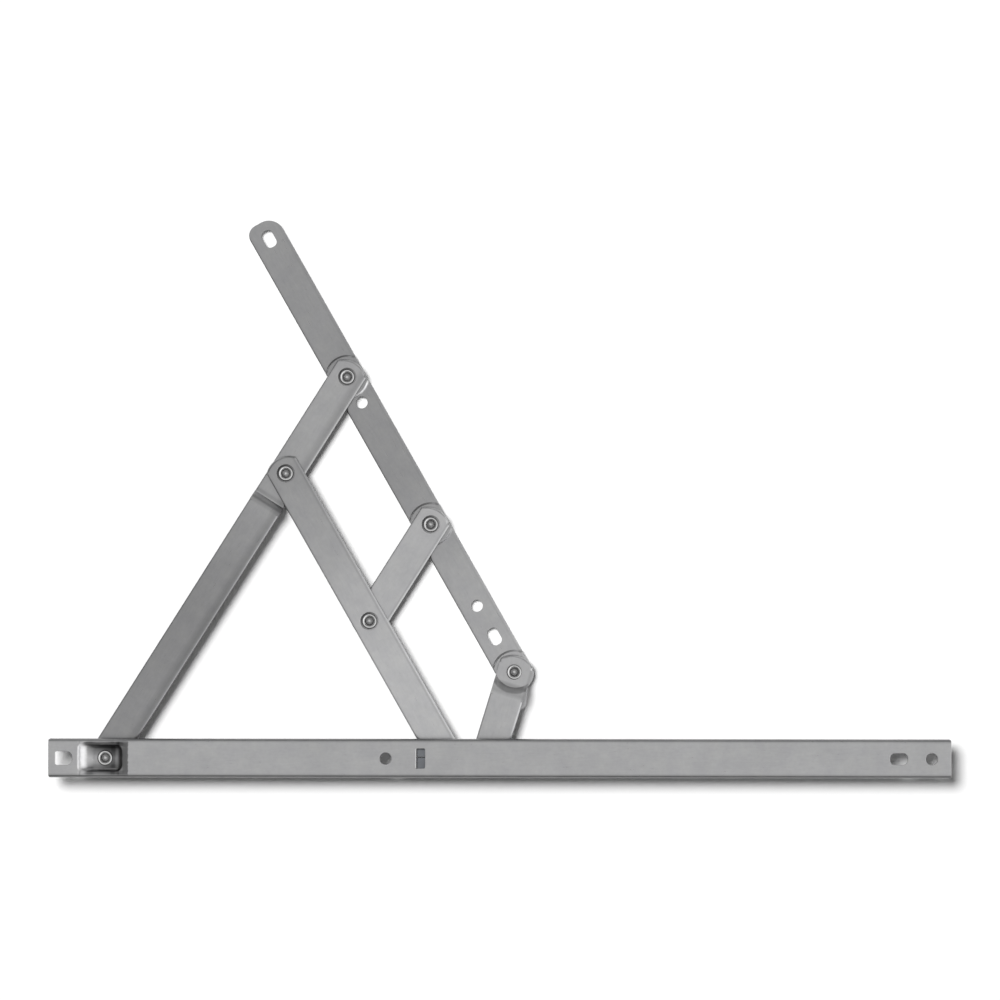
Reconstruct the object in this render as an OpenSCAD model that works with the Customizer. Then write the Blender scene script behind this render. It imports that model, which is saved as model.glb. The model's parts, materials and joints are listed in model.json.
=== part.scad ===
// Concealed window friction stay, right-hand pattern, drawn fully open.
// The origin is the centre of the track's mounting face. +X runs along the track, away from the
// fixed pivot, +Y points to the side that the bars open to, and +Z leaves the mounting face.
// The bars lie under the track in three layers, so that they stack when the stay is shut.

/* [Track] */
// Length of the track, the nominal size of the stay
track_len = 406.4; // [360:0.1:460]
// Width over the flanges
track_w = 17.5; // [17:0.1:20]
// Height from the lips to the mounting face
track_h = 5; // [4.8:0.1:6]
// Thickness of the web, which is the mounting face
web_t = 1.4; // [1.2:0.1:1.6]
// Thickness of the flanges
flange_t = 1.3; // [1.1:0.1:1.5]
// Thickness of the lips under the sliders
lip_t = 1.2; // [1:0.1:1.3]
// How far each lip reaches in from its flange
lip_reach = 2.25; // [2:0.05:2.4]
// Outside radius of the long corners
track_edge_r = 1.8; // [1.2:0.1:2]
// Inside radius of the long corners
track_inner_r = 0.4; // [0.2:0.1:0.6]
// Radius of the four corners seen on the mounting face
track_corner_r = 0.9; // [0.4:0.1:1.2]

/* [Track holes] */
// Centre of the D-shaped slot, from the fixed-pivot end
end_slot_x = 6.9; // [6:0.1:8]
// Length of the D-shaped slot
end_slot_len = 7.8; // [7:0.1:8.4]
// Width of the D-shaped slot
end_slot_w = 6.2; // [5.6:0.1:6.6]
// Radius of its round side
end_slot_bulge_r = 3.4; // [3.4:0.1:6]
// Radius of its corners
end_slot_corner_r = 0.8; // [0.4:0.1:1.2]
// Centre of the middle screw hole, back from the window of the opening stop
mid_hole_x = 13.4; // [10:0.1:20]
// Centre of the far adjusting slot, from the far end
far_slot_x = 23.6; // [20:0.1:28]
// Centre of the far screw hole, from the far end
far_hole_x = 8.8; // [7:0.1:12]
// Diameter of the screw holes
screw_hole_d = 5.4; // [4.8:0.1:5.8]
// Width of the adjusting slots
slot_w = 5.3; // [4.8:0.1:5.6]
// Length of the adjusting slots
slot_len = 8; // [7:0.1:8.6]
// Radius of their corners
slot_corner_r = 2.2; // [1.6:0.1:2.4]

/* [Opening stop] */
// Size of the lanced window along the track, bend included
stop_len = 4.4; // [3.6:0.1:4.6]
// Size of the lanced window across the track
stop_w = 9; // [8:0.1:10]
// Radius of the window's corners
stop_corner_r = 0.6; // [0.3:0.1:1]
// Thickness of the tab that is bent down
stop_tab_t = 1.1; // [0.9:0.1:1.3]
// Outside radius of the tab's bend
stop_bend_r = 0.6; // [0.4:0.1:1]
// Gap on each side of the tab in its window
stop_tab_side = 0.2; // [0.1:0.05:0.4]
// Gap between the end of the tab and the lips
stop_tab_lift = 0.3; // [0.1:0.05:0.5]
// Gap between the tab and the rear slider when fully open
stop_gap = 0.2; // [0.1:0.05:0.4]

/* [Fixed pivot dimple] */
// Fixed pivot, from the end of the track
fixed_pivot_x = 25.3; // [24:0.1:27]
// From the pivot back to the dimple's edge on the side of its long ramp
dimple_back = 12.2; // [11.5:0.1:12.6]
// From the pivot on to its edge on the steep side
dimple_front = 10.2; // [9.6:0.1:11]
// Width of the dimple at the mounting face
dimple_w = 14.6; // [14:0.1:14.8]
// From its edge to the foot of the long ramp
dimple_ramp = 5; // [4:0.1:5.4]
// Width of the shoulder on the steep side
dimple_brow = 2.4; // [1.8:0.1:2.8]
// Width of the shoulder on the other sides
dimple_shoulder = 1.2; // [0.8:0.1:1.6]
// Depth of the shoulder where the bowl starts
dimple_drop = 0.8; // [0.4:0.1:1]
// Draft of the bowl's walls
dimple_draft = 0.2; // [0.1:0.1:0.4]
// Radius between the bowl's walls and its floor
dimple_r = 2.5; // [2:0.1:2.6]
// Radius of its corners in plan
dimple_corner_r = 3.2; // [2.4:0.1:4]
// Gap between the dimple and the start of the lips
notch_gap = 1.2; // [0.8:0.1:2]

/* [Linkage] */
// Long arm, fixed pivot to the crossing pivot
arm_lower = 151.8; // [140:0.1:160]
// Long arm, crossing pivot to the vent bar's pivot
arm_upper = 51.6; // [48:0.1:56]
// Angle of the long arm to the track when fully open
arm_open = 57.7; // [55:0.1:59]
// Angle of the cross arm and the vent bar to the track when fully open
bar_open = 60.4; // [59:0.1:62]
// Crossing pivot to the parallel link's pivot on the cross arm
link_offset = 76.6; // [70:0.1:80]
// Vent bar, long arm's pivot to the toggle link's pivot
vent_span = 153.2; // [148:0.1:158]
// Distance along the track between the pivots of the two sliders when fully open
slider_gap = 19.3; // [18:0.1:24]
// Rear slider pivot above the track's centre line, which halves its side play
rear_offset = 0.5; // [0.4:0.05:0.6]
// Front slider pivot above the track's centre line, which halves its side play
front_offset = 1.5; // [1.4:0.05:1.6]

/* [Bars] */
// Width of the arms and links
arm_w = 15.2; // [14:0.1:16]
// Width of the vent bar
vent_w = 15.6; // [14.6:0.1:16.4]
// Thickness of the arms and links
arm_t = 2; // [1.8:0.1:2.4]
// Thickness of the vent bar
vent_t = 2; // [1.8:0.1:2.4]
// Gap between neighbouring layers, filled by a washer at each pivot
layer_gap = 0.5; // [0.4:0.05:0.8]
// Radius of the arched ends
end_r = 10.4; // [9:0.1:12]
// How far an arched end reaches past its pivot
end_reach = 7.5; // [7:0.1:8]
// Radius of their rolled upper edges
edge_r = 1.5; // [0.6:0.1:1.7]
// Length of the slope in the long arm's joggle
joggle_run = 4.1; // [3.4:0.1:4.6]
// From the end of that slope to the crossing pivot
joggle_lead = 13.9; // [13:0.1:15]
// From the toggle link's pivot to the crease of its joggle
toggle_crease = 6.9; // [6.5:0.1:7.2]
// Radius of that round crease
toggle_crease_r = 9.3; // [8.4:0.1:12]
// Length of the slope in the toggle link's joggle
toggle_run = 4.1; // [3.4:0.1:4.6]
// Radius over the soft bend at the top of both joggles
joggle_r = 3; // [2.4:0.1:3.2]

/* [Vent bar] */
// Height of the raised seats under the pivots
seat_h = 1; // [1:0.1:1.3]
// Radius of a raised seat's flat top
seat_r = 9.1; // [8.6:0.1:9.2]
// Width of the ramp round a raised seat
seat_ramp = 0.9; // [0.8:0.1:1.2]
// First screw hole, from the long arm's pivot
vent_hole_a = 13.2; // [13:0.1:14]
// Second screw hole, back from the toggle link's pivot
vent_hole_b = 34.3; // [30:0.1:40]
// Slot near the toggle link, back from the toggle link's pivot
vent_slot_b = 18.3; // [17:0.1:22]
// Slot in the tail, back from the long arm's pivot
tail_slot_x = 71.8; // [66:0.1:76]
// From the tail slot's centre to the end of the tail
tail_reach = 8.2; // [8:0.1:10]
// Radius of the tail's corner on the outer side
tail_outer_r = 7.4; // [6:0.1:7.8]
// Radius of the tail's corner on the inner side
tail_inner_r = 5; // [3:0.1:6]
// Radius of the round shoulder beside the toggle link's pivot
nose_shoulder_r = 9; // [8.6:0.1:9.4]
// Radius of the nose's tip
nose_tip_r = 3; // [2.4:0.1:3.6]
// How far the nose reaches past the toggle link's pivot
nose_reach = 16.4; // [15:0.1:18]
// Angle of the nose's cut-away side, from square across the bar
nose_taper = 56; // [50:0.5:62]

/* [Rivets and washers] */
// Radius of the rivet shanks
shank_r = 2.7; // [2.5:0.05:2.8]
// Radius of the hollow in a rivet's rolled end
hollow_r = 2.05; // [1.8:0.05:2.1]
// Depth of that hollow
hollow_depth = 1.6; // [1.3:0.1:1.8]
// Radius of the bead that the end is rolled into
bead_r = 0.6; // [0.5:0.05:0.7]
// Radius of the rivet heads
head_r = 4.1; // [3.8:0.1:4.4]
// Thickness of the rivet heads
head_t = 0.85; // [0.7:0.05:0.9]
// Thickness of the rivet heads at their edges
head_edge_t = 0.3; // [0.2:0.05:0.5]
// Radius of the countersinks round the rolled ends
countersink_r = 4.15; // [4:0.05:4.4]
// How far a bead overhangs the floor of its countersink
bead_overhang = 0.1; // [0:0.05:0.2]
// How far a countersunk bead stands above its bar
bead_proud = 0.1; // [0:0.05:0.2]
// Radius of the washers
washer_r = 5.5; // [5:0.1:6]
// Radius of the washers under the sliders
slider_washer_r = 4.4; // [4.2:0.1:4.5]

/* [Sliders] */
// Rear slider, from its pivot back to the end of its split tail
rear_tail = 13.1; // [12.2:0.1:13.8]
// Half length of the sliders in front of and behind their pivots
slider_reach = 7.5; // [7:0.1:8]
// Radius of the sliders' corners
slider_corner_r = 1.5; // [1:0.1:2]
// Side play of the rear slider in the track
rear_play = 0.75; // [0.65:0.05:0.9]
// Side play of the front slider in the track
front_play = 1.75; // [1.65:0.05:1.9]
// Width of the split in the rear slider's tail
split_w = 0.5; // [0.3:0.05:0.8]
// Length of that split
split_len = 8; // [7:0.1:8.4]
// Friction screw, back from the rear slider's pivot
screw_back = 8; // [7.6:0.1:8.6]
// Radius of the friction screw
screw_r = 1.4; // [1.2:0.05:1.6]
// Width of the screwdriver slot
driver_w = 0.6; // [0.4:0.05:0.8]
// Depth of the screwdriver slot
driver_depth = 0.8; // [0.6:0.05:1]
// How far the friction screw's ends stand back from the slider's faces
screw_sink = 0.2; // [0.1:0.05:0.4]
// How far the slider necks stand out below the lips
neck_stand = 0.1; // [0.1:0.01:0.15]

/* [Fits] */
// Running clearance round a rivet shank, on the radius
running = 0.05; // [0.03:0.01:0.08]
// Clearance round a shank in a washer, on the radius
washer_play = 0.15; // [0.1:0.05:0.2]
// Clearance above and below the sliders
slider_lift = 0.15; // [0.1:0.05:0.2]
// Clearance between the friction screw and its hole, on the radius
screw_play = 0.02; // [0.01:0.01:0.05]

/* [Hidden] */
$fn = 64;
steel = "silver";
// Overrun of the cuts, and overlap of the lengths that make one bar
cut = 1;
// Overlap of the pressed forms and the rest of their piece
weld = 0.25;

// Levels, from the mounting face down
web_under = -web_t;
lip_top = -track_h + lip_t;
track_under = -track_h;
upper_top = track_under - layer_gap;
upper_under = upper_top - arm_t;
lower_top = upper_under - layer_gap;
lower_under = lower_top - arm_t;
seat_top = lower_under - layer_gap;
seat_under = seat_top - vent_t;
vent_top = seat_top - seat_h;
layer_step = arm_t + layer_gap;

// Track section
inner_w = track_w - 2 * flange_t;
lip_open = inner_w - 2 * lip_reach;
track_left = -track_len / 2;

// Pivots in the plane of the track
function along(from, angle, distance) = from + distance * [cos(angle), sin(angle)];
fixed_p = [track_left + fixed_pivot_x, 0];
crossing_p = along(fixed_p, arm_open, arm_lower);
arm_end_p = along(fixed_p, arm_open, arm_lower + arm_upper);
cross_len = (arm_lower * sin(arm_open) - rear_offset) / sin(bar_open);
link_cross_p = along(crossing_p, -bar_open, link_offset);
rear_p = along(crossing_p, -bar_open, cross_len);
link_vent_p = along(arm_end_p, -bar_open, link_offset);
toggle_vent_p = along(arm_end_p, -bar_open, vent_span);
front_p = [rear_p[0] + slider_gap, front_offset];
toggle_len = norm(toggle_vent_p - front_p);
toggle_open = atan2(toggle_vent_p[1] - front_p[1], front_p[0] - toggle_vent_p[0]);

// Rivets
rivet_hole_r = shank_r + running;
bead_ring_r = hollow_r + bead_r + (shank_r - hollow_r) / 4;
countersink_depth = 2 * bead_r - bead_proud;
countersink_floor_r = bead_ring_r + bead_r - bead_overhang;
head_rise = head_t - head_edge_t;
head_dome_r = (head_r * head_r + head_rise * head_rise) / (2 * head_rise);

// Outer edge of the ramp round a raised seat
seat_rim = seat_r + seat_ramp;

// Dimple and the notch that clears its pressed floor
dimple_x0 = fixed_pivot_x - dimple_back;
dimple_x1 = fixed_pivot_x + dimple_front;
dimple_floor = track_under + web_t;
notch_end = dimple_x1 + web_t + notch_gap;

// The opening stop stands just behind the rear slider, and the middle screw hole behind the stop
stop_face = rear_p[0] - rear_tail - stop_gap;
stop_window = stop_face - stop_bend_r;
mid_hole = stop_window - mid_hole_x - track_left;

// Sliders
rear_w = inner_w - 2 * rear_play;
front_w = inner_w - 2 * front_play;
slider_top = web_under - slider_lift;
slider_under = lip_top + slider_lift;
neck_under = track_under - neck_stand;

module round_rect(size, r) {
    square([size[0] - 2 * r, size[1]], center = true);
    square([size[0], size[1] - 2 * r], center = true);
    for (sx = [-1, 1], sy = [-1, 1])
        translate([sx * (size[0] / 2 - r), sy * (size[1] / 2 - r)])
            circle(r);
}

// Half of a bar's section, from its middle out to its rolled upper edge
module rolled_2d(half, t) {
    intersection() {
        translate([0, -t])
            square([half, t]);
        union() {
            translate([0, -t])
                square([half, t - edge_r]);
            translate([0, -t])
                square([half - edge_r, t]);
            translate([half - edge_r, -edge_r])
                circle(edge_r);
        }
    }
}

// A straight length of strip, its upper face at z = 0
module strip(x0, x1, w, t) {
    translate([x0, 0, 0])
        rotate([90, 0, 90])
            linear_extrude(x1 - x0)
                for (side = [0, 1])
                    mirror([side, 0])
                        rolled_2d(w / 2, t);
}

// What a bar between two pivots is cut from: an arched end at each height, and room between them
module bar_form(span, near_top, far_top) {
    back = end_r - end_reach;
    for (end = [[back, near_top], [span - back, far_top]])
        translate([end[0], 0, end[1]])
            rotate_extrude()
                rolled_2d(end_r, arm_t);
    translate([back, -arm_w / 2, lower_under - cut])
        cube([span - 2 * back, arm_w, upper_top - lower_under + 2 * cut]);
}

module rivet_hole(x, top, under) {
    translate([x, 0, under - cut])
        cylinder(h = top - under + 2 * cut, r = rivet_hole_r);
}

// The rolled end of a rivet sits in a countersink, clear of the layer above
module countersink(x, top) {
    translate([x, 0, top - countersink_depth])
        cylinder(h = countersink_depth, r1 = countersink_floor_r, r2 = countersink_r);
}

module place(pivot, angle) {
    translate([pivot[0], pivot[1], 0])
        rotate([0, 0, angle])
            children();
}

// Track: a rolled channel, dimpled at the fixed pivot, with a lanced stop
module channel_section() {
    difference() {
        translate([0, -track_h / 2])
            round_rect([track_w, track_h], track_edge_r);
        translate([0, (web_under + lip_top) / 2])
            round_rect([inner_w, web_under - lip_top], track_inner_r);
        translate([-lip_open / 2, track_under - cut])
            square([lip_open, lip_t + 2 * cut]);
    }
}

// The dimple has a shallow shoulder and a round bowl. A skin of 0 gives its hollow, and the
// web's thickness gives its outside.
module dimple_pan(skin) {
    bowl_x0 = dimple_x0 + dimple_shoulder - skin;
    bowl_x1 = dimple_x1 - dimple_brow + skin;
    bowl_w = dimple_w - 2 * dimple_shoulder + 2 * skin;
    floor_x0 = dimple_x0 + dimple_ramp - skin + dimple_r;
    floor_x1 = bowl_x1 - dimple_draft - dimple_r;
    floor_y = bowl_w / 2 - dimple_draft - dimple_r;
    hull() {
        dimple_level(dimple_x0 - skin, dimple_x1 + skin, dimple_w + 2 * skin, -skin);
        dimple_level(bowl_x0, bowl_x1, bowl_w, -skin - dimple_drop);
    }
    hull() {
        dimple_level(bowl_x0, bowl_x1, bowl_w, -skin - dimple_drop);
        for (x = [floor_x0, floor_x1], side = [-1, 1])
            translate([x, side * floor_y, dimple_floor - skin + dimple_r])
                sphere(dimple_r, $fn = 32);
    }
}

module dimple_level(x0, x1, w, z) {
    translate([(x0 + x1) / 2, 0, z])
        linear_extrude(cut)
            round_rect([x1 - x0, w], dimple_corner_r);
}

module end_slot_2d() {
    intersection() {
        round_rect([end_slot_len, end_slot_w], end_slot_corner_r);
        union() {
            translate([-end_slot_len / 2, -end_slot_w / 2])
                square([end_slot_len / 2, end_slot_w]);
            translate([end_slot_len / 2 - end_slot_bulge_r, 0])
                circle(end_slot_bulge_r);
        }
    }
}

module track_plan() {
    translate([track_len / 2, 0])
        round_rect([track_len, track_w], track_corner_r);
}

module track_cuts() {
    translate([end_slot_x, 0, web_under - cut])
        linear_extrude(web_t + 2 * cut)
            end_slot_2d();
    for (x = [mid_hole, track_len - far_hole_x])
        translate([x, 0, web_under - cut])
            cylinder(h = web_t + 2 * cut, d = screw_hole_d);
    translate([track_len - far_slot_x, 0, web_under - cut])
        linear_extrude(web_t + 2 * cut)
            round_rect([slot_len, slot_w], slot_corner_r);
}

// The window is lanced on three sides, and its tab is bent down at the fourth
module stop_window_cut() {
    translate([stop_window + stop_len / 2, 0, web_under - cut])
        linear_extrude(web_t + 2 * cut)
            round_rect([stop_len, stop_w], stop_corner_r);
}

module stop_tab() {
    tab_w = stop_w - 2 * stop_tab_side;
    tab_end = lip_top + stop_tab_lift;
    translate([stop_window, tab_w / 2, 0])
        rotate([90, 0, 0])
            linear_extrude(tab_w) {
                translate([-cut, -web_t])
                    square([cut, web_t]);
                translate([0, -stop_bend_r])
                    circle(stop_bend_r);
                translate([stop_bend_r - stop_tab_t, tab_end])
                    square([stop_tab_t, -stop_bend_r - tab_end]);
            }
}

module track() {
    color(steel) {
        translate([track_left, 0, 0]) {
            difference() {
                intersection() {
                    rotate([90, 0, 90])
                        linear_extrude(track_len)
                            channel_section();
                    translate([0, 0, track_under - cut])
                        linear_extrude(track_h + 2 * cut)
                            track_plan();
                }
                translate([-cut, -inner_w / 2, track_under - cut])
                    cube([notch_end + cut, inner_w, lip_t + 2 * cut]);
                track_cuts();
                dimple_pan(0);
                translate([-track_left, 0, 0])
                    stop_window_cut();
            }
            difference() {
                intersection() {
                    dimple_pan(web_t);
                    translate([0, -inner_w / 2 - weld, track_under])
                        cube([notch_end, inner_w + 2 * weld, track_h - weld]);
                }
                dimple_pan(0);
                translate([fixed_pivot_x, 0, track_under - cut])
                    cylinder(h = track_h + 2 * cut, r = shank_r);
            }
        }
        stop_tab();
    }
}

// Side view of a strip that rises one layer, from a sharp crease at the origin to a soft bend
function arc(centre, r, from, to) =
    [for (i = [0:8]) centre + r * [cos(from + (to - from) * i / 8), sin(from + (to - from) * i / 8)]];

function joggle(run, before, after) =
    let (
        soft = [run, layer_step - joggle_r],
        slope_len = sqrt(soft * soft - joggle_r * joggle_r),
        slope = atan2(soft[1], soft[0]) + atan2(joggle_r, slope_len)
    )
    concat(
        [[-before, 0], [0, 0]], arc(soft, joggle_r, 90 + slope, 90),
        [[run + after, layer_step], [run + after, layer_step - arm_t]],
        arc(soft, joggle_r - arm_t, 90, 90 + slope), arc([0, 0], arm_t, slope - 90, -90),
        [[-before, -arm_t]]
    );

// Long arm: it steps down from the upper to the lower layer before the crossing
module long_arm() {
    joggle_end = arm_lower - joggle_lead;
    joggle_start = joggle_end - joggle_run;
    span = arm_lower + arm_upper;
    color(steel)
        place(fixed_p, arm_open)
            difference() {
                intersection() {
                    union() {
                        translate([0, 0, upper_top])
                            strip(-end_reach - cut, joggle_start, arm_w, arm_t);
                        translate([joggle_end, -arm_w / 2, lower_top])
                            rotate([90, 0, 180])
                                linear_extrude(arm_w)
                                    polygon(joggle(joggle_run, weld, weld));
                        translate([0, 0, lower_top])
                            strip(joggle_end, span + end_reach + cut, arm_w, arm_t);
                    }
                    bar_form(span, upper_top, lower_top);
                }
                rivet_hole(0, upper_top, upper_under);
                rivet_hole(arm_lower, lower_top, lower_under);
                rivet_hole(span, lower_top, lower_under);
                countersink(span, lower_top);
            }
}

// A flat bar in one layer
module flat_bar(span, top) {
    intersection() {
        translate([0, 0, top])
            strip(-end_reach - cut, span + end_reach + cut, arm_w, arm_t);
        bar_form(span, top, top);
    }
}

module cross_arm() {
    color(steel)
        place(crossing_p, -bar_open)
            difference() {
                flat_bar(cross_len, upper_top);
                for (x = [0, link_offset, cross_len])
                    rivet_hole(x, upper_top, upper_under);
                for (x = [0, link_offset])
                    countersink(x, upper_top);
            }
}

module parallel_link() {
    color(steel)
        place(link_vent_p, arm_open + 180)
            difference() {
                flat_bar(arm_upper, lower_top);
                for (x = [0, arm_upper])
                    rivet_hole(x, lower_top, lower_under);
                countersink(0, lower_top);
            }
}

// Toggle link: its end is pressed down a layer inside a round crease
module toggle_link() {
    crease_x = toggle_crease - toggle_crease_r;
    blend_x = toggle_crease + toggle_run + cut;
    color(steel)
        place(toggle_vent_p, -toggle_open)
            difference() {
                intersection() {
                    union() {
                        translate([0, 0, upper_top])
                            strip(blend_x, toggle_len + end_reach + cut, arm_w, arm_t);
                        intersection() {
                            translate([crease_x, 0, lower_top])
                                rotate_extrude()
                                    translate([toggle_crease_r, 0])
                                        polygon(joggle(toggle_run, toggle_crease_r, arm_w));
                            translate([crease_x - weld, -arm_w / 2, lower_under])
                                cube([blend_x + weld - crease_x, arm_w, upper_top - lower_under]);
                        }
                        translate([0, 0, lower_top])
                            strip(-end_reach - cut, crease_x, arm_w, arm_t);
                    }
                    bar_form(toggle_len, lower_top, upper_top);
                }
                rivet_hole(0, lower_top, lower_under);
                rivet_hole(toggle_len, upper_top, upper_under);
            }
}

// Vent bar: a strip with a round seat pressed up under each of its three pivots
module tail_plan() {
    end_x = -tail_slot_x - tail_reach;
    outer_y = vent_w / 2 - tail_outer_r;
    inner_y = tail_inner_r - vent_w / 2;
    translate([end_x + tail_outer_r, outer_y])
        circle(tail_outer_r);
    translate([end_x + tail_inner_r, inner_y])
        circle(tail_inner_r);
    translate([end_x, inner_y])
        square([cut - end_x, outer_y - inner_y]);
    translate([end_x + tail_outer_r, inner_y])
        square([cut - end_x - tail_outer_r, tail_outer_r + outer_y - inner_y]);
    translate([end_x + tail_inner_r, -vent_w / 2])
        square([cut - end_x - tail_inner_r, tail_inner_r + outer_y - inner_y]);
}

// The nose is cut away on one side and runs out to a round tip on the other
module nose_plan() {
    tip = [nose_reach - nose_tip_r, nose_tip_r - vent_w / 2];
    taper_end = tip + nose_tip_r * [cos(nose_taper), sin(nose_taper)];
    intersection() {
        circle(nose_shoulder_r);
        translate([0, -vent_w / 2])
            square([nose_shoulder_r, vent_w]);
    }
    translate(tip)
        circle(nose_tip_r);
    polygon([
        [0, -vent_w / 2], [tip[0], -vent_w / 2], tip, taper_end,
        taper_end + nose_reach * [-sin(nose_taper), cos(nose_taper)], [0, 0]
    ]);
}

module vent_plan() {
    tail_plan();
    translate([0, -vent_w / 2])
        square([vent_span, vent_w]);
    translate([vent_span, 0])
        intersection() {
            nose_plan();
            translate([-cut, -vent_w / 2])
                square([nose_reach + 2 * cut, vent_w]);
        }
}

module raised_seat(x) {
    skirt = seat_rim + weld;
    translate([x, 0, vent_top])
        intersection() {
            rotate_extrude()
                polygon([
                    [0, seat_h], [seat_r, seat_h], [seat_rim, 0], [skirt, 0],
                    [skirt, -vent_t], [seat_rim, -vent_t], [seat_r, seat_h - vent_t],
                    [0, seat_h - vent_t]
                ]);
            translate([0, 0, seat_h])
                strip(-skirt, skirt, vent_w, vent_t + seat_h);
        }
}

module vent_bar() {
    seats = [0, link_offset, vent_span];
    tail_end = -tail_slot_x - tail_reach;
    color(steel)
        place(arm_end_p, -bar_open)
            difference() {
                intersection() {
                    union() {
                        difference() {
                            translate([0, 0, vent_top])
                                strip(tail_end - cut, vent_span + nose_reach + cut, vent_w, vent_t);
                            for (x = seats)
                                translate([x, 0, vent_top - vent_t - cut])
                                    cylinder(h = vent_t + 2 * cut, r = seat_rim);
                        }
                        for (x = seats)
                            raised_seat(x);
                    }
                    translate([0, 0, vent_top - vent_t - cut])
                        linear_extrude(vent_t + seat_h + 2 * cut)
                            vent_plan();
                }
                for (x = seats)
                    rivet_hole(x, seat_top, seat_under);
                for (x = [vent_hole_a, vent_span - vent_hole_b])
                    translate([x, 0, vent_top - vent_t - cut])
                        cylinder(h = vent_t + seat_h + 2 * cut, d = screw_hole_d);
                for (x = [-tail_slot_x, vent_span - vent_slot_b])
                    translate([x, 0, vent_top - vent_t - cut])
                        linear_extrude(vent_t + seat_h + 2 * cut)
                            round_rect([slot_len, slot_w], slot_corner_r);
            }
}

// Sliders: shoes that run in the channel, with a neck between the lips
module slider_bore(seat) {
    translate([0, 0, neck_under - cut])
        cylinder(h = seat - neck_under + 2 * cut, r = shank_r);
    translate([0, 0, slider_top - countersink_depth])
        cylinder(h = countersink_depth + cut, r1 = countersink_floor_r, r2 = countersink_r);
}

module rear_slider() {
    body_len = rear_tail + slider_reach;
    body_mid = (slider_reach - rear_tail) / 2;
    neck_w = lip_open - 2 * rear_play;
    color("dimgray")
        place(rear_p, 0)
            difference() {
                union() {
                    translate([body_mid, 0, slider_under])
                        linear_extrude(slider_top - slider_under)
                            round_rect([body_len, rear_w], slider_corner_r);
                    translate([body_mid, 0, neck_under])
                        linear_extrude(slider_under - neck_under)
                            round_rect([body_len, neck_w], slider_corner_r);
                }
                slider_bore(slider_top);
                translate([-rear_tail - cut, -split_w / 2, neck_under - cut])
                    cube([split_len + cut, split_w, track_h + 2 * cut]);
                translate([-screw_back, 0, neck_under - cut])
                    cylinder(h = slider_top - neck_under + 2 * cut, r = screw_r + screw_play);
            }
}

module friction_screw() {
    screw_under = neck_under + screw_sink;
    screw_top = slider_top - screw_sink;
    color("goldenrod")
        place(rear_p, 0)
            translate([-screw_back, 0, screw_under])
                difference() {
                    cylinder(h = screw_top - screw_under, r = screw_r);
                    translate([-screw_r, -driver_w / 2, -cut])
                        cube([2 * screw_r, driver_w, driver_depth + cut]);
                }
}

module front_slider() {
    neck_r = lip_open / 2 - front_play;
    color("dimgray")
        place(front_p, 0)
            difference() {
                union() {
                    translate([0, 0, slider_under])
                        linear_extrude(slider_top - slider_under)
                            round_rect([2 * slider_reach, front_w], slider_corner_r);
                    translate([0, 0, neck_under])
                        cylinder(h = slider_under - neck_under, r = neck_r);
                }
                slider_bore(slider_top);
            }
}

// Profile of the hollow in a rolled end, with a round bottom
module hollow_2d() {
    intersection() {
        union() {
            circle(hollow_r);
            translate([-hollow_r, 0])
                square([2 * hollow_r, hollow_depth + cut]);
        }
        translate([0, -hollow_r])
            square([hollow_r, hollow_r + hollow_depth + cut]);
    }
}

// Rivets: a low domed head below, a hollow end rolled into a bead above. seat is the face that the
// bead sits on, and under is the lower bar's underside.
module rivet(pivot, seat, under) {
    bead_z = seat + bead_r;
    color(steel)
        translate([pivot[0], pivot[1], 0])
            difference() {
                union() {
                    translate([0, 0, under - head_edge_t])
                        cylinder(h = bead_z - under + head_edge_t, r = shank_r);
                    intersection() {
                        translate([0, 0, under - head_t])
                            cylinder(h = head_t, r = head_r);
                        translate([0, 0, under - head_t + head_dome_r])
                            sphere(head_dome_r, $fn = 128);
                    }
                    translate([0, 0, bead_z])
                        rotate_extrude()
                            translate([bead_ring_r, 0])
                                circle(bead_r, $fn = 32);
                }
                translate([0, 0, bead_z + bead_r - hollow_depth])
                    rotate_extrude()
                        hollow_2d();
            }
}

module washer(pivot, top, under, r) {
    color("ivory")
        translate([pivot[0], pivot[1], under])
            difference() {
                cylinder(h = top - under, r = r);
                translate([0, 0, -cut])
                    cylinder(h = top - under + 2 * cut, r = shank_r + washer_play);
            }
}

module rivet_fixed() rivet(fixed_p, dimple_floor, upper_under);
module rivet_crossing() rivet(crossing_p, upper_top - countersink_depth, lower_under);
module rivet_arm_end() rivet(arm_end_p, lower_top - countersink_depth, seat_under);
module rivet_link_cross() rivet(link_cross_p, upper_top - countersink_depth, lower_under);
module rivet_rear_slider() rivet(rear_p, slider_top - countersink_depth, upper_under);
module rivet_link_vent() rivet(link_vent_p, lower_top - countersink_depth, seat_under);
module rivet_toggle_vent() rivet(toggle_vent_p, lower_top, seat_under);
module rivet_front_slider() rivet(front_p, slider_top - countersink_depth, upper_under);

module washer_fixed() washer(fixed_p, track_under, upper_top, washer_r);
module washer_crossing() washer(crossing_p, upper_under, lower_top, washer_r);
module washer_arm_end() washer(arm_end_p, lower_under, seat_top, washer_r);
module washer_link_cross() washer(link_cross_p, upper_under, lower_top, washer_r);
module washer_rear_slider() washer(rear_p, neck_under, upper_top, slider_washer_r);
module washer_link_vent() washer(link_vent_p, lower_under, seat_top, washer_r);
module washer_toggle_vent() washer(toggle_vent_p, lower_under, seat_top, washer_r);
module washer_front_slider() washer(front_p, neck_under, upper_top, slider_washer_r);

track();
long_arm();
cross_arm();
vent_bar();
parallel_link();
toggle_link();
rear_slider();
front_slider();
friction_screw();
rivet_fixed();
rivet_crossing();
rivet_arm_end();
rivet_link_cross();
rivet_rear_slider();
rivet_link_vent();
rivet_toggle_vent();
rivet_front_slider();
washer_fixed();
washer_crossing();
washer_arm_end();
washer_link_cross();
washer_rear_slider();
washer_link_vent();
washer_toggle_vent();
washer_front_slider();
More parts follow.
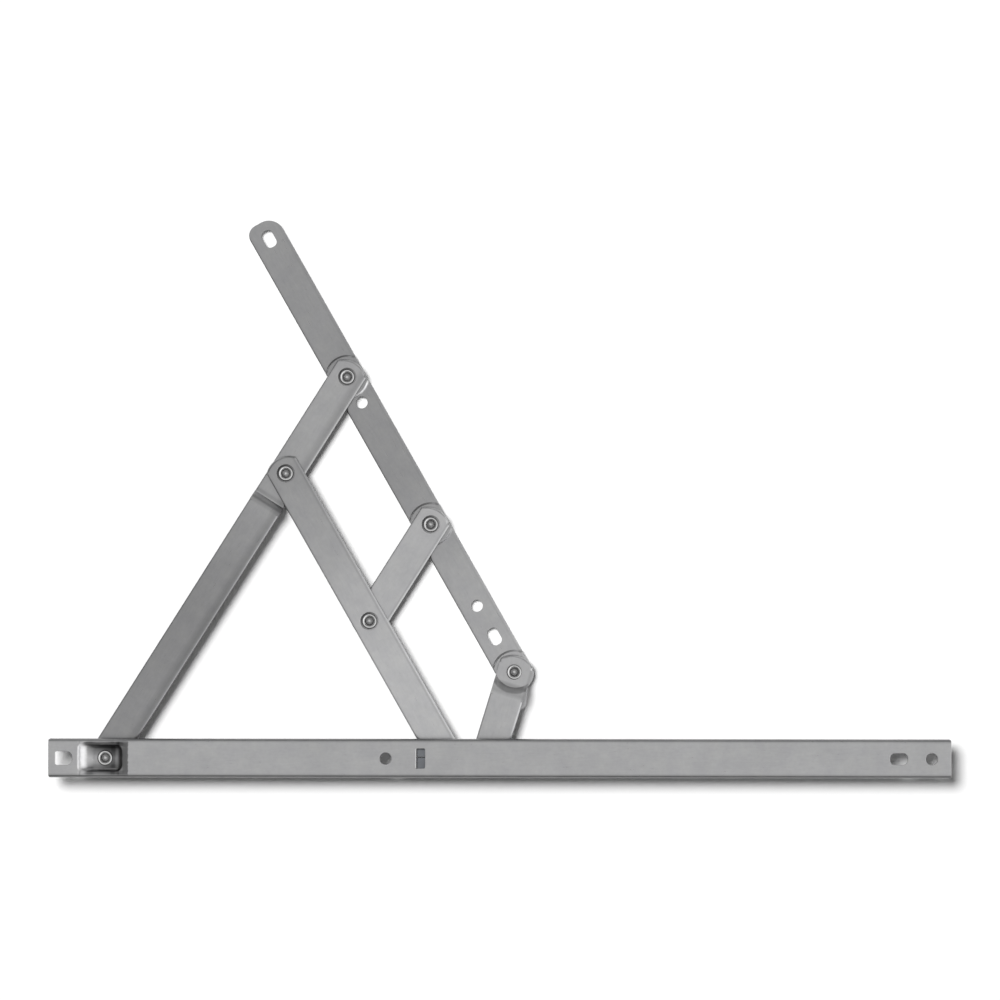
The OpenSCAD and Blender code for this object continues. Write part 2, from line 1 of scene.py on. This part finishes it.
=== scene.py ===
import json
import math

import bpy
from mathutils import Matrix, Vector


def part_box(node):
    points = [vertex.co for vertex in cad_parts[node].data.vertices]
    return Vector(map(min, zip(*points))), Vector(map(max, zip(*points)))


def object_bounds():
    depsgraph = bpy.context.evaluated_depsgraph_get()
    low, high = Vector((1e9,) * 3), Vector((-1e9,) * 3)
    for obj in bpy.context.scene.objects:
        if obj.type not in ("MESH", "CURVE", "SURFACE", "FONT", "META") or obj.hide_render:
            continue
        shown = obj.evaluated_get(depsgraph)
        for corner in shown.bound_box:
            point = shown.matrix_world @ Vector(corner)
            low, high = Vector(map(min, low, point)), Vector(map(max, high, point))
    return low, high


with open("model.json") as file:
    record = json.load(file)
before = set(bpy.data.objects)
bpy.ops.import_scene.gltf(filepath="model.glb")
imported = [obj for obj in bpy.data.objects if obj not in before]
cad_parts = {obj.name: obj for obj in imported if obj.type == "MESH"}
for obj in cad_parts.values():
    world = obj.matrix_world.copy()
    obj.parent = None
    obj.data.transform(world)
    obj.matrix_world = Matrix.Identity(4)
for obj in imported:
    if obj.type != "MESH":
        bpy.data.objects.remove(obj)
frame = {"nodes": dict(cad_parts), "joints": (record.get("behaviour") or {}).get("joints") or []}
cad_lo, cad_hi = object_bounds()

NODES = frame["nodes"]
scene = bpy.context.scene

# Millimetres in a metre: the frame is in metres, and the tables are in millimetres
MM = 1000.0

# Directions of the bars in the plane of the track, in degrees
ARM_ANGLE = 57.7
BAR_ANGLE = -60.4
TOGGLE_ANGLE = -106.94

# Half the width of the bars in mm
ARM_HALF, VENT_HALF = 7.6, 7.8
# A rolled edge starts and is in full this far in from the side, in mm
ROLLED_START, ROLLED_FULL = 1.7, 1.3
# Upward share of the normal on a cut side and on a rolled edge
CUT_RISE, ROLLED_RISE = 0.1, 0.4
# How much flatter a rolled edge looks than it is
ROLLED_EASE = 0.6
# Radii of the smoothed edges, in metres
EDGE_R, TRACK_EDGE_R, DIMPLE_EDGE_R = 0.00025, 0.0004, 0.0014
RIVET_EDGE_R, MOULDED_EDGE_R, SCREW_EDGE_R = 0.00015, 0.0002, 0.0001
# Rays that smooth an edge, on the strips and rivets and on the small hidden pieces
STEEL_SAMPLES, HIDDEN_SAMPLES = 6, 4

# Where nearly all of a noise lies
NOISE_LO, NOISE_HI = 0.3, 0.7
# Noises of a rolled strip: scale, detail, roughness, and what is added to the strip's seed
ROLLED_NOISES = {
    "streaks": (1500.0, 4.0, 0.6, 0.0),
    "clouds": (55.0, 3.0, 0.5, 3.0),
    "mottle": (620.0, 3.0, 0.6, 7.0),
    "patches": (160.0, 2.0, 0.5, 9.0),
    "specks": (330.0, 2.0, 0.5, 11.0),
}
# How much of their scale the streaks have along the strip
STREAK_STRETCH = 0.12
# How far each noise moves the tone, down and up
SWINGS = {"streaks": 0.035, "clouds": 0.035, "mottle": 0.03, "patches": 0.04}
# Share of the tone in a speck, and the noise below which it lies
SPECK_TONE, SPECK_CORE, SPECK_RIM = 0.88, 0.2, 0.3
# How much bluer the darkest patches are
PATCH_BLUE = 1.02
# Roughness of the steel in its smoothest and roughest streaks
SMOOTH_STREAK, ROUGH_STREAK = 0.27, 0.35
# Bump of the steel: how strong and how deep in metres, and the streaks' share of it
STEEL_BUMP, STEEL_DEPTH, STREAK_BUMP = 0.08, 0.0001, 0.6

# Radius of a stained countersink and where its edge ends, in metres, and the clean metal left in it
SINK_R, SINK_RIM_R = 0.0040, 0.0042
SINK_METAL = 0.3

# Grey levels of each strip, by mm along it from its start: painted shading, lighter or darker along the
# strip as its reflection of the light changes
TRACK_TONES = [(-200, 164), (200, 163)]
LONG_ARM_TONES = [(10, 141), (50, 134), (75, 131), (95, 135), (115, 143), (130, 147), (160, 157),
                  (203, 160)]
CROSS_TONES = [(0, 143), (20, 152), (40, 159), (60, 167), (85, 177), (110, 182), (147, 178)]
VENT_TONES = [(-78, 150), (-50, 144), (-20, 146), (20, 142), (50, 143), (70, 150), (85, 152),
              (100, 157), (153, 168)]
LINK_TONES = [(0, 170), (25, 173), (52, 171)]
TOGGLE_TONES = [(0, 165), (15, 172), (39, 160)]

# Share of the tone across a strip, by mm to the left of its centre line: painted shade in bands along
# its rolled edges
TRACK_ACROSS = [(-8.75, 0.5), (-6.6, 1.0), (6.9, 1.0), (8.75, 0.5)]
LONG_ARM_ACROSS = [(-7.6, 0.75), (-6.6, 0.8), (-5.4, 0.8), (-2.7, 1.0), (7.6, 1.0)]
CROSS_ACROSS = [(-7.6, 1.0), (5.6, 1.0), (6.3, 0.84), (6.7, 0.84), (7.0, 1.0), (7.6, 0.95)]
VENT_ACROSS = [(-7.8, 1.0), (6.0, 1.0), (6.7, 0.9), (7.8, 0.9)]
LINK_ACROSS = [(-7.6, 1.0), (5.8, 1.0), (6.4, 0.85), (7.6, 0.7)]
TOGGLE_ACROSS = [(-7.6, 1.0), (6.4, 1.0), (6.9, 0.9), (7.6, 0.8)]

# The most that a share of the tone can be in the next tables and in the dimple's painted shading
SHARE_TOP = 2.0
# Share of the tone near a joggle, by mm along the strip from its start: painted shade and a painted
# highlight on the joggle's bends; EVEN paints none
EVEN = [(0.0, 1.0), (1.0, 1.0)]
LONG_ARM_JOGGLE = [(133.0, 1.0), (134.1, 0.81), (135.0, 0.76), (135.9, 0.95), (136.8, 1.38),
                   (137.7, 1.28), (138.6, 0.84), (139.5, 0.82), (140.4, 0.98), (141.0, 1.0)]
TOGGLE_JOGGLE = [(4.9, 1.0), (5.4, 0.85), (6.3, 0.72), (7.2, 0.8), (8.1, 0.85), (9.0, 0.8),
                 (9.9, 0.76), (10.8, 0.87), (11.7, 1.0)]

# Share of the tone in the dimple, by mm along the track from its pivot: a painted highlight on the
# ramp, then painted shade
DIMPLE_PAINTED_SHADING = [(-12.6, 1.0), (-12.2, 1.15), (-11.8, 1.2), (-11.2, 0.72), (-10.8, 1.15),
                (-10.2, 1.28), (-9.4, 1.28), (-8.9, 1.1), (-8.0, 0.76), (-7.6, 0.66), (-6.2, 0.6),
                (-5.8, 0.62), (-5.3, 0.75), (-4.8, 0.9), (-3.7, 0.95), (0.0, 0.8), (2.4, 0.55),
                (3.0, 0.34), (4.2, 0.34), (4.8, 0.55), (6.3, 0.5), (6.8, 0.78), (7.7, 0.78),
                (8.3, 0.4), (10.4, 0.36), (10.7, 1.0)]
# Painted shade on its sides: the share that they lose, by mm across it from the pivot, and how much of
# that along it
DIMPLE_SIDES = [(-6.5, 0.2), (-5.4, 0.2), (-4.4, 0.68), (-3.3, 0.6), (-2.4, 0.3), (-1.5, 0.1),
                (0.0, 0.0), (0.8, 0.15), (1.6, 0.4), (2.6, 0.6), (3.5, 0.78), (4.8, 0.88),
                (5.4, 0.4), (6.5, 0.2)]
DIMPLE_SIDES_RUN = [(-8.5, 0.0), (-7.6, 0.45), (-6.7, 0.55), (-5.5, 0.7), (-2.0, 0.8), (1.5, 0.95),
                    (4.6, 0.95), (6.6, 0.35), (7.5, 0.25), (8.5, 0.0)]
# Painted shade in its far corners: the share that they lose, across it and along it
DIMPLE_CORNERS = [(-8.0, 0.5), (-5.8, 0.5), (-5.0, 0.0), (5.0, 0.0), (5.6, 0.65), (7.4, 0.65),
                  (8.0, 0.4)]
DIMPLE_CORNERS_RUN = [(4.8, 0.0), (6.3, 1.0), (7.8, 1.0), (8.6, 0.3), (10.4, 0.2), (10.7, 0.0)]
# Share of the painted shade that its side walls keep, across it, and the mm along it over which they end
DIMPLE_WALLS = [(-6.4, 1.0), (-5.6, 0.1), (-5.0, 0.1), (-4.5, 1.0), (5.3, 1.0), (5.8, 0.1),
                (6.6, 0.1), (7.0, 1.0)]
WALLS_END = (5.0, 6.0)
# The painted shade stops between these distances from the track's centre line, and its edges
# waver, in mm
PAINTED_SHADE_STOP = (6.9, 8.1)
PAINTED_SHADE_WAVE = 0.25
# The softer edges reach this far from the pivot in metres, on an oval of these proportions
SOFT_REACH = (0.0085, 0.0100)
SOFT_OVAL = (0.75, 1.3, 0.0)

# Painted highlight on the ramp round the vent bar's seat for the long arm, by mm from its pivot, the
# most that it adds to the tone, and the mm above the pivot over which it ends
SEAT_HIGHLIGHT = [(8.9, 0.0), (9.3, 1.0), (9.5, 1.0), (9.9, 0.0)]
SEAT_HIGHLIGHT_GAIN = 1.7
SEAT_HIGHLIGHT_END = (-3.0, -1.5)

# Reflectance of a rivet by mm from its centre: hollow, its wall, bead, outside; painted light on the
# hollow's floor and bead, painted shade on the hollow's wall and round the bead's outer edge
RIVET_TONES = [(0.0, 0.6), (1.3, 0.6), (1.7, 0.28), (2.1, 0.28), (2.35, 0.55), (2.85, 0.55),
               (3.15, 0.2), (4.2, 0.2)]
# Roughness of a rivet's hollow and of its bead, and where one turns into the other, in metres
HOLLOW_ROUGH, BEAD_ROUGH = 0.42, 0.26
HOLLOW_R, BEAD_R = 0.0018, 0.0024
# The hollow looks like a bowl of this radius, which rises by this many metres per square metre
BOWL_R, BOWL_RISE = 0.0021, 90.0

# A rivet's noises, as scale, detail, roughness and seed, how far they move the tone, and its fine bump
RIVET_PATCHES, RIVET_FINE = (420.0, 3.0, 0.6, 2.0), (2600.0, 2.0, 0.5, 5.0)
PATCH_SWING, FINE_SWING = 0.08, 0.02
FINE_BUMP, FINE_DEPTH = 0.03, 0.00005

# Dark and light colours of the other materials
ACETAL = ((0.1, 0.106, 0.115), (0.13, 0.137, 0.148))
NYLON = ((0.68, 0.65, 0.56), (0.75, 0.72, 0.64))
BRASS = ((0.46, 0.31, 0.11), (0.62, 0.45, 0.19))
# The lowest and highest roughness of each
ACETAL_ROUGH, NYLON_ROUGH, BRASS_ROUGH = (0.45, 0.58), (0.40, 0.53), (0.25, 0.4)
# Noises of the plastics and the brass, as scale, detail, roughness and seed, and the plastics' bump
PLASTIC_CLOUDS, PLASTIC_GRAIN = (150.0, 3.0, 0.5, 1.0), (3200.0, 2.0, 0.5, 4.0)
BRASS_CLOUDS = (500.0, 3.0, 0.5, 1.0)
PLASTIC_BUMP, PLASTIC_DEPTH = 0.2, 0.00005

# Size of the floor in metres, how far it lies up the picture, and the share of light that it passes on
FLOOR_SIZE, FLOOR_SHIFT, FLOOR_BOUNCE = 6.0, 0.1, 0.9
# Strength of the studio's light on the right, overhead, at the top of the picture and elsewhere
SIDE_LIGHT, TOP_LIGHT, FAR_LIGHT, BASE_LIGHT = 1.6, 0.85, 0.4, 0.15
SIDE_WAY = (0.93, -0.32, 0.18)
# Share of a direction at which a light starts and is in full
LIGHT_FADE, FAR_FADE = (0.45, 0.85), (0.3, 0.9)
# Suns: name, direction, spread in degrees, and share of the light on a white floor
SUNS = [("key", (0.4, -0.4, -1.0), 28.0, 0.92), ("fill", (0.0, 0.0, -1.0), 150.0, 0.15)]
SUN_DISTANCE = 2.0

# Camera: lens and sensor in mm, width of the view in metres, centre of the view and turn in degrees
LENS, SENSOR = 180.0, 36.0
VIEW_WIDTH = 0.45
VIEW_CENTRE = (-0.00006, 0.1164)
VIEW_TURN = 0.07
CLIP_NEAR, CLIP_FAR = 0.01, 50.0


class Graph:
    """The node tree of a material or world, with short calls for its nodes."""

    def __init__(self, owner):
        owner.use_nodes = True
        self.nodes = owner.node_tree.nodes
        self.links = owner.node_tree.links
        self.nodes.clear()

    def put(self, socket, value):
        if isinstance(value, bpy.types.NodeSocket):
            self.links.new(value, socket)
        else:
            socket.default_value = value

    def node(self, kind, inputs=(), **settings):
        made = self.nodes.new(kind)
        for key, value in settings.items():
            setattr(made, key, value)
        for key, value in dict(inputs).items():
            self.put(made.inputs[key], value)
        return made

    def math(self, operation, a, b=0.0):
        return self.node("ShaderNodeMath", {0: a, 1: b}, operation=operation).outputs[0]

    def times(self, first, *others):
        """Product of two or more values."""
        for other in others:
            first = self.math("MULTIPLY", first, other)
        return first

    def rest(self, share):
        """What a share leaves of one."""
        return self.math("SUBTRACT", 1.0, share)

    def vector(self, operation, inputs):
        return self.node("ShaderNodeVectorMath", inputs, operation=operation).outputs

    def axis(self, vector, name):
        return self.node("ShaderNodeSeparateXYZ", {0: vector}).outputs[name]

    def colour(self, red, green, blue):
        return self.node("ShaderNodeCombineColor", {0: red, 1: green, 2: blue}).outputs[0]

    def place(self, angle=0.0, origin=(0.0, 0.0, 0.0), scale=(1.0, 1.0, 1.0)):
        """Position in metres from origin, turned so that X runs along the bar, then scaled."""
        here = self.node("ShaderNodeTexCoord").outputs["Object"]
        moved = self.vector("SUBTRACT", {0: here, 1: origin})[0]
        turn = {"Vector": moved, "Axis": (0, 0, 1), "Angle": math.radians(-angle)}
        turned = self.node("ShaderNodeVectorRotate", turn).outputs[0]
        return self.vector("MULTIPLY", {0: turned, 1: scale})[0]

    def in_mm(self, angle, origin):
        """Millimetres from origin, along the bar and across it."""
        here = self.place(angle, origin, (MM, MM, MM))
        return self.axis(here, "X"), self.axis(here, "Y")

    def reach(self, centre, scale=(1.0, 1.0, 0.0)):
        """Distance from the upright line through centre, in metres times scale."""
        return self.vector("LENGTH", {0: self.place(0.0, centre, scale)})["Value"]

    def noise(self, vector, scale, detail, rough, seed):
        inputs = {"Vector": vector, "Scale": scale, "Detail": detail, "Roughness": rough, "W": seed}
        return self.node("ShaderNodeTexNoise", inputs, noise_dimensions="4D").outputs["Fac"]

    def span(self, value, lo, hi, to_lo, to_hi, smooth=False):
        kind = "SMOOTHSTEP" if smooth else "LINEAR"
        inputs = {"Value": value, 1: lo, 2: hi, 3: to_lo, 4: to_hi}
        made = self.node("ShaderNodeMapRange", inputs, interpolation_type=kind, clamp=True)
        return made.outputs[0]

    def spread(self, noise, lo, hi):
        """A noise spread from lo to hi."""
        return self.span(noise, NOISE_LO, NOISE_HI, lo, hi)

    def curve(self, value, points, top=1.0, kind="LINEAR"):
        """Follows (input, output) points, with outputs between 0 and top."""
        first, last = points[0][0], points[-1][0]
        ramp = self.node("ShaderNodeValToRGB", {"Fac": self.span(value, first, last, 0.0, 1.0)})
        ramp.color_ramp.interpolation = kind
        stops = ramp.color_ramp.elements
        while len(stops) < len(points):
            stops.new(1.0)
        for stop, (at, out) in zip(stops, points):
            stop.position = (at - first) / (last - first)
            stop.color = (out / top, out / top, out / top, 1.0)
        share = self.node("ShaderNodeSeparateColor", {0: ramp.outputs["Color"]}).outputs[0]
        return share if top == 1.0 else self.times(share, top)

    def rounded(self, radius, samples):
        return self.node("ShaderNodeBevel", {"Radius": radius}, samples=samples).outputs[0]

    def bump(self, height, strength, distance, normal):
        inputs = {"Height": height, "Strength": strength, "Distance": distance, "Normal": normal}
        return self.node("ShaderNodeBump", inputs).outputs[0]


class Finish(Graph):
    """A material with one shader."""

    def __init__(self, name, kind="ShaderNodeBsdfPrincipled"):
        self.mat = bpy.data.materials.new(name)
        super().__init__(self.mat)
        self.shader = self.node(kind)
        self.node("ShaderNodeOutputMaterial", {"Surface": self.shader.outputs[0]})

    def set(self, name, value):
        self.put(self.shader.inputs[name], value)

    def tint(self, factor, colours):
        """Sets a colour between a dark and a light one."""
        mix = self.node("ShaderNodeMix", data_type="RGBA")
        self.put(mix.inputs["Factor"], factor)
        for name, colour in zip("AB", colours):
            self.put(mix.inputs[name], (*colour, 1.0))
        self.set("Base Color", mix.outputs["Result"])


def linear(level):
    """Reflectance that renders as a grey level from 0 to 255."""
    v = level / 255.0
    return ((v + 0.055) / 1.055) ** 2.4


def rolled_noises(g, angle, start, seed):
    """The noises of a rolled strip's finish, by name."""
    places = dict.fromkeys(ROLLED_NOISES, g.place(angle, start))
    places["streaks"] = g.place(angle, start, (STREAK_STRETCH, 1.0, 1.0))
    return {name: g.noise(places[name], scale, detail, rough, seed + more)
            for name, (scale, detail, rough, more) in ROLLED_NOISES.items()}


def rolled_tone(g, along, left, noises, tones, across, near):
    """Tone of a rolled strip: its painted shading along and across it and at joggles, and the noises of
    its finish.
    """
    # Painted shading: the tables make the strip lighter or darker as the light falls on it
    tone = g.curve(along, [(mm, linear(grey)) for mm, grey in tones], kind="B_SPLINE")
    tone = g.times(tone, g.curve(left, across), g.curve(along, near, SHARE_TOP))
    for name, swing in SWINGS.items():
        tone = g.times(tone, g.spread(noises[name], 1.0 - swing, 1.0 + swing))
    return g.times(tone, g.span(noises["specks"], SPECK_CORE, SPECK_RIM, SPECK_TONE, 1.0, True))


def paint_seat_highlight(g, tone, pivot):
    """Paints a highlight on the ramp round a seat, on its -Y side."""
    # Painted highlight on the seat's ramp
    ring = g.curve(g.reach(pivot, (MM, MM, 0.0)), SEAT_HIGHLIGHT)
    above = g.in_mm(0.0, pivot)[1]
    ring = g.times(ring, g.span(above, *SEAT_HIGHLIGHT_END, 1.0, 0.0))
    return g.times(tone, g.math("ADD", 1.0, g.times(ring, SEAT_HIGHLIGHT_GAIN)))


def paint_dimple_shading(g, tone, left, mottle, pivot):
    """Paints a highlight on the track's dimple ramp and shade over the rest of the dimple, sparing most of
    the side walls.
    """
    # Painted highlight on the ramp and painted shade in the dimple
    x, y = g.in_mm(0.0, pivot)
    x = g.math("ADD", x, g.spread(mottle, -PAINTED_SHADE_WAVE, PAINTED_SHADE_WAVE))
    inside = g.span(g.math("ABSOLUTE", left), *PAINTED_SHADE_STOP, 1.0, 0.0)
    sides = g.times(g.curve(x, DIMPLE_SIDES_RUN), g.curve(y, DIMPLE_SIDES))
    painted_shade = g.rest(g.times(g.curve(x, DIMPLE_PAINTED_SHADING, SHARE_TOP), g.rest(sides)))
    walls_spared = g.times(g.rest(g.curve(y, DIMPLE_WALLS)), g.span(x, *WALLS_END, 1.0, 0.0))
    corners = g.times(g.curve(x, DIMPLE_CORNERS_RUN), g.curve(y, DIMPLE_CORNERS))
    tone = g.times(tone, g.rest(g.times(painted_shade, g.rest(walls_spared), inside)))
    return g.times(tone, g.rest(g.times(corners, inside)))


def ease_rolled_edges(g, normal, left, half, angle):
    """Leans the normals of a strip's rolled edges back over it, so that they look flatter."""
    off_centre = g.math("ABSOLUTE", left)
    band = g.span(off_centre, half - ROLLED_START, half - ROLLED_FULL, 0.0, 1.0)
    rolled = g.span(g.axis(normal, "Z"), CUT_RISE, ROLLED_RISE, 0.0, -ROLLED_EASE)
    turn = math.radians(angle)
    across = g.node("ShaderNodeVectorTransform", {0: (-math.sin(turn), math.cos(turn), 0.0)},
                    vector_type="VECTOR", convert_from="OBJECT", convert_to="WORLD").outputs[0]
    lean = g.vector("DOT_PRODUCT", {0: normal, 1: across})["Value"]
    back = g.vector("SCALE", {0: across, "Scale": g.times(lean, band, rolled)})[0]
    return g.vector("NORMALIZE", {0: g.vector("ADD", {0: normal, 1: back})[0]})[0]


def steel(name, tones, across, angle=0.0, start=(0.0, 0.0, 0.0), half=ARM_HALF, near=EVEN,
          seed=0.0, sinks=(), dimple=None, highlight_seat=None):
    """Satin rolled stainless steel: soft streaks along the strip, faint clouds and a few dark specks, with
    painted shade and highlights.

    tones, across and near are the strip's tables of painted shade and highlight, along it, across it
    and at a joggle; the strip runs at angle from start, and half is half its width in mm. sinks are the
    pivots that have a countersink, dull and stained inside, dimple is the pivot in the track's pressed
    dimple, which gets painted shade and a painted highlight, and the last is the pivot whose seat ramp
    gets a painted highlight."""
    g = Finish(name)
    along, left = g.in_mm(angle, start)
    noises = rolled_noises(g, angle, start, seed)
    streaks, mottle = noises["streaks"], noises["mottle"]
    tone = rolled_tone(g, along, left, noises, tones, across, near)
    # Painted highlight on a seat's ramp
    if highlight_seat:
        tone = paint_seat_highlight(g, tone, highlight_seat)
    # Painted highlight and painted shade in the track's dimple
    if dimple:
        tone = paint_dimple_shading(g, tone, left, mottle, dimple)
    g.set("Base Color", g.colour(tone, tone, g.times(tone, g.spread(noises["patches"], PATCH_BLUE, 1.0))))
    metal = 1.0
    for pivot in sinks:
        metal = g.times(metal, g.span(g.reach(pivot), SINK_R, SINK_RIM_R, SINK_METAL, 1.0))
    g.set("Metallic", metal)
    g.set("Roughness", g.spread(streaks, SMOOTH_STREAK, ROUGH_STREAK))
    if dimple:
        soft = g.span(g.reach(dimple, SOFT_OVAL), *SOFT_REACH, DIMPLE_EDGE_R, TRACK_EDGE_R)
        normal = g.rounded(soft, STEEL_SAMPLES)
    else:
        normal = ease_rolled_edges(g, g.rounded(EDGE_R, STEEL_SAMPLES), left, half, angle)
    height = g.math("ADD", g.times(streaks, STREAK_BUMP), g.times(mottle, 1.0 - STREAK_BUMP))
    g.set("Normal", g.bump(height, STEEL_BUMP, STEEL_DEPTH, normal))
    return g.mat


def rivet_steel(name, pivot):
    """Formed stainless steel: a smooth rolled bead round a shallow bowl, with painted light and shade by
    radius.
    """
    g = Finish(name)
    here, radius = g.place(0.0, pivot), g.reach(pivot)
    patches, fine = g.noise(here, *RIVET_PATCHES), g.noise(here, *RIVET_FINE)
    tone = g.times(g.spread(patches, 1.0 - PATCH_SWING, 1.0 + PATCH_SWING),
                   g.spread(fine, 1.0 - FINE_SWING, 1.0 + FINE_SWING))
    # Painted light and shade by radius on the rivet
    tone = g.times(tone, g.curve(g.times(radius, MM), RIVET_TONES))
    g.set("Base Color", g.colour(tone, tone, tone))
    g.set("Metallic", 1.0)
    g.set("Roughness", g.span(radius, HOLLOW_R, BEAD_R, HOLLOW_ROUGH, BEAD_ROUGH))
    in_bowl = g.math("MINIMUM", radius, BOWL_R)
    bowl = g.times(g.math("POWER", in_bowl, 2.0), BOWL_RISE)
    shaped = g.bump(bowl, 1.0, 1.0, g.rounded(RIVET_EDGE_R, STEEL_SAMPLES))
    g.set("Normal", g.bump(fine, FINE_BUMP, FINE_DEPTH, shaped))
    return g.mat


def moulded(name, colours, rough):
    """Moulded plastic: a fine even texture with slight clouds."""
    g = Finish(name)
    here = g.place()
    clouds, grain = g.noise(here, *PLASTIC_CLOUDS), g.noise(here, *PLASTIC_GRAIN)
    g.tint(g.spread(clouds, 0.0, 1.0), colours)
    g.set("Roughness", g.spread(grain, *rough))
    edges = g.rounded(MOULDED_EDGE_R, HIDDEN_SAMPLES)
    g.set("Normal", g.bump(grain, PLASTIC_BUMP, PLASTIC_DEPTH, edges))
    return g.mat


def turned_brass(name):
    """Turned brass, a little dulled."""
    g = Finish(name)
    clouds = g.noise(g.place(), *BRASS_CLOUDS)
    g.tint(clouds, BRASS)
    g.set("Metallic", 1.0)
    g.set("Roughness", g.spread(clouds, *BRASS_ROUGH))
    g.set("Normal", g.rounded(SCREW_EDGE_R, HIDDEN_SAMPLES))
    return g.mat


def dress(node, material):
    """Gives a CAD node one material in every slot."""
    ob = NODES[node]
    if not ob.material_slots:
        ob.data.materials.append(material)
    for slot in ob.material_slots:
        slot.link = "OBJECT"
        slot.material = material


def hinge(name):
    """Place of a joint, in metres."""
    joint = next(j for j in frame["joints"] if j["name"] == name)
    return tuple(joint["pos_m"])


def middle(node):
    """Centre of a piece, in metres."""
    low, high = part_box(node)
    return tuple((low + high) / 2)


def dress_strips():
    """The rolled strips, each with a finish of its own."""
    fixed, crossing, arm_end = hinge("fixed_pivot"), hinge("crossing_pivot"), hinge("arm_end_pivot")
    toggle_vent, link_vent = hinge("toggle_vent_pivot"), hinge("link_vent_pivot")
    link_cross = middle("rivet_link_cross")
    dress("track", steel("track_steel", TRACK_TONES, TRACK_ACROSS, seed=1.0, dimple=fixed))
    dress("long_arm", steel("long_arm_steel", LONG_ARM_TONES, LONG_ARM_ACROSS, ARM_ANGLE, fixed,
                            near=LONG_ARM_JOGGLE, seed=2.0, sinks=[arm_end]))
    dress("cross_arm", steel("cross_arm_steel", CROSS_TONES, CROSS_ACROSS, BAR_ANGLE, crossing,
                             seed=3.0, sinks=[crossing, link_cross]))
    dress("vent_bar", steel("vent_bar_steel", VENT_TONES, VENT_ACROSS, BAR_ANGLE, arm_end, VENT_HALF,
                            seed=4.0, highlight_seat=arm_end))
    dress("parallel_link", steel("parallel_link_steel", LINK_TONES, LINK_ACROSS, ARM_ANGLE + 180,
                                 link_vent, seed=5.0, sinks=[link_vent]))
    dress("toggle_link", steel("toggle_link_steel", TOGGLE_TONES, TOGGLE_ACROSS, TOGGLE_ANGLE,
                               toggle_vent, near=TOGGLE_JOGGLE, seed=6.0))


def dress_fittings():
    """The rivets, washers, sliders and the friction screw."""
    acetal = moulded("slider_acetal", ACETAL, ACETAL_ROUGH)
    nylon = moulded("washer_nylon", NYLON, NYLON_ROUGH)
    for name in NODES:
        if name.startswith("rivet_"):
            dress(name, rivet_steel(name + "_steel", middle(name)))
        elif name.startswith("washer_"):
            dress(name, nylon)
        elif name.endswith("slider"):
            dress(name, acetal)
    dress("friction_screw", turned_brass("screw_brass"))


def make_floor(level):
    """A pale floor that shows white to the camera and in the steel, and keeps the shadow."""
    bpy.ops.mesh.primitive_plane_add(size=FLOOR_SIZE, location=(0, FLOOR_SHIFT, level))
    floor = bpy.context.object
    floor.name = "floor"
    g = Finish("floor_white", "ShaderNodeBsdfDiffuse")
    path = g.node("ShaderNodeLightPath").outputs
    seen = g.math("MAXIMUM", path["Is Camera Ray"], path["Is Glossy Ray"])
    seen = g.math("MAXIMUM", seen, path["Is Transmission Ray"])
    shade = g.span(seen, 0.0, 1.0, FLOOR_BOUNCE, 1.0)
    g.set("Color", g.colour(shade, shade, shade))
    floor.data.materials.append(g.mat)


def make_world():
    """A plain studio, brightest on the right, white to the camera. The floor gets its light from the suns."""
    world = bpy.data.worlds.new("studio")
    scene.world = world
    g = Graph(world)
    way = g.node("ShaderNodeTexCoord").outputs["Generated"]
    right = g.vector("DOT_PRODUCT", {0: way, 1: Vector(SIDE_WAY).normalized()})["Value"]
    side = g.span(right, *LIGHT_FADE, 0.0, SIDE_LIGHT, smooth=True)
    top = g.span(g.axis(way, "Z"), *LIGHT_FADE, 0.0, TOP_LIGHT, smooth=True)
    far = g.span(g.axis(way, "Y"), *FAR_FADE, 0.0, FAR_LIGHT, smooth=True)
    light = g.math("ADD", g.math("ADD", side, top), g.math("ADD", far, BASE_LIGHT))
    seen = g.node("ShaderNodeLightPath").outputs["Is Camera Ray"]
    strength = g.math("ADD", g.times(light, g.rest(seen)), seen)
    back = g.node("ShaderNodeBackground", {"Color": (1, 1, 1, 1), "Strength": strength})
    g.node("ShaderNodeOutputWorld", {"Surface": back.outputs[0]})
    world.cycles_visibility.diffuse = False


def make_sun(name, direction, spread, level):
    """An even soft lamp that the steel doesn't mirror. level is its share of a white floor's light."""
    data = bpy.data.lights.new(name, "SUN")
    way = Vector(direction).normalized()
    data.angle = math.radians(spread)
    data.energy = level * math.pi / -way.z
    sun = bpy.data.objects.new(name, data)
    scene.collection.objects.link(sun)
    sun.location = way * -SUN_DISTANCE
    sun.rotation_euler = way.to_track_quat("-Z", "Y").to_euler()
    sun.visible_glossy = False
    sun.visible_camera = False


def make_camera():
    """Square on above the track's face, as in the photograph, with a long lens."""
    data = bpy.data.cameras.new("camera")
    data.sensor_width = SENSOR
    data.lens = LENS
    data.clip_start, data.clip_end = CLIP_NEAR, CLIP_FAR
    cam = bpy.data.objects.new("camera", data)
    scene.collection.objects.link(cam)
    cam.location = (*VIEW_CENTRE, VIEW_WIDTH * LENS / SENSOR)
    cam.rotation_euler = (0, 0, math.radians(VIEW_TURN))
    scene.camera = cam


dress_strips()
dress_fittings()
make_floor(cad_lo.z)
make_world()
for sun in SUNS:
    make_sun(*sun)
make_camera()
scene.view_settings.view_transform = "Standard"
